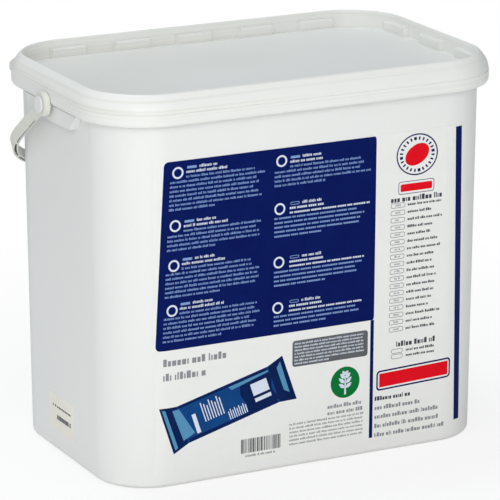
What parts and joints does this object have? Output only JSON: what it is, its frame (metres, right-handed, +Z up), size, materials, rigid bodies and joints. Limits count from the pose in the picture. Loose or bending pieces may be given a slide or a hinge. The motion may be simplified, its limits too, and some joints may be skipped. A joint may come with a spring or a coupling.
{
  "type": "tablet tub",
  "caption": "White rounded rectangular plastic tub with a recessed lid, a swinging bail and a printed label round its front, filled with wrapped oven rinse tablets.",
  "frame": {"origin": "middle of the underside of the base", "axes": "+Z up, +X along the long side to the right of the label, the label faces -Y, the bail hangs towards +Y"},
  "size_m": [0.304, 0.1955, 0.2613],
  "materials": {
    "tub_plastic": "satin white moulding",
    "lid_plastic": "satin white moulding",
    "bail_plastic": "satin white moulding",
    "label_stock": "semi-gloss white label stock",
    "ink_navy": "dark blue print",
    "ink_grey": "grey print",
    "ink_green": "green print",
    "ink_red": "red print",
    "ink_blue": "blue print",
    "sticker_paper": "matt cream paper",
    "wrapper_film": "blue wrapper film"
  },
  "bodies": {
    "tub": {"tub": "tub_plastic", "front_label": "label_stock", "label_navy": "ink_navy", "label_grey": "ink_grey", "label_green": "ink_green", "label_red": "ink_red", "label_blue": "ink_blue", "end_sticker": "sticker_paper", "tablets_layer_01": "wrapper_film", "tablets_layer_02": "wrapper_film", "tablets_layer_03": "wrapper_film", "tablets_layer_04": "wrapper_film", "tablets_layer_05": "wrapper_film", "tablets_layer_06": "wrapper_film", "tablets_layer_07": "wrapper_film", "tablets_layer_08": "wrapper_film", "tablets_layer_09": "wrapper_film", "tablets_layer_10": "wrapper_film", "tablets_layer_11": "wrapper_film", "tablets_layer_12": "wrapper_film"},
    "lid": {"lid": "lid_plastic"},
    "bail": {"bail": "bail_plastic"}
  },
  "joints": [
    {"name": "lid_lift", "type": "slide", "parent": "tub", "child": "lid", "axis": [0, 0, 1], "range_m": [0, 0.12]},
    {"name": "bail_swing", "type": "hinge", "parent": "tub", "child": "bail", "pos_m": [0, 0, 0.241], "axis": [1, 0, 0], "range_deg": [0, 248]}
  ]
}
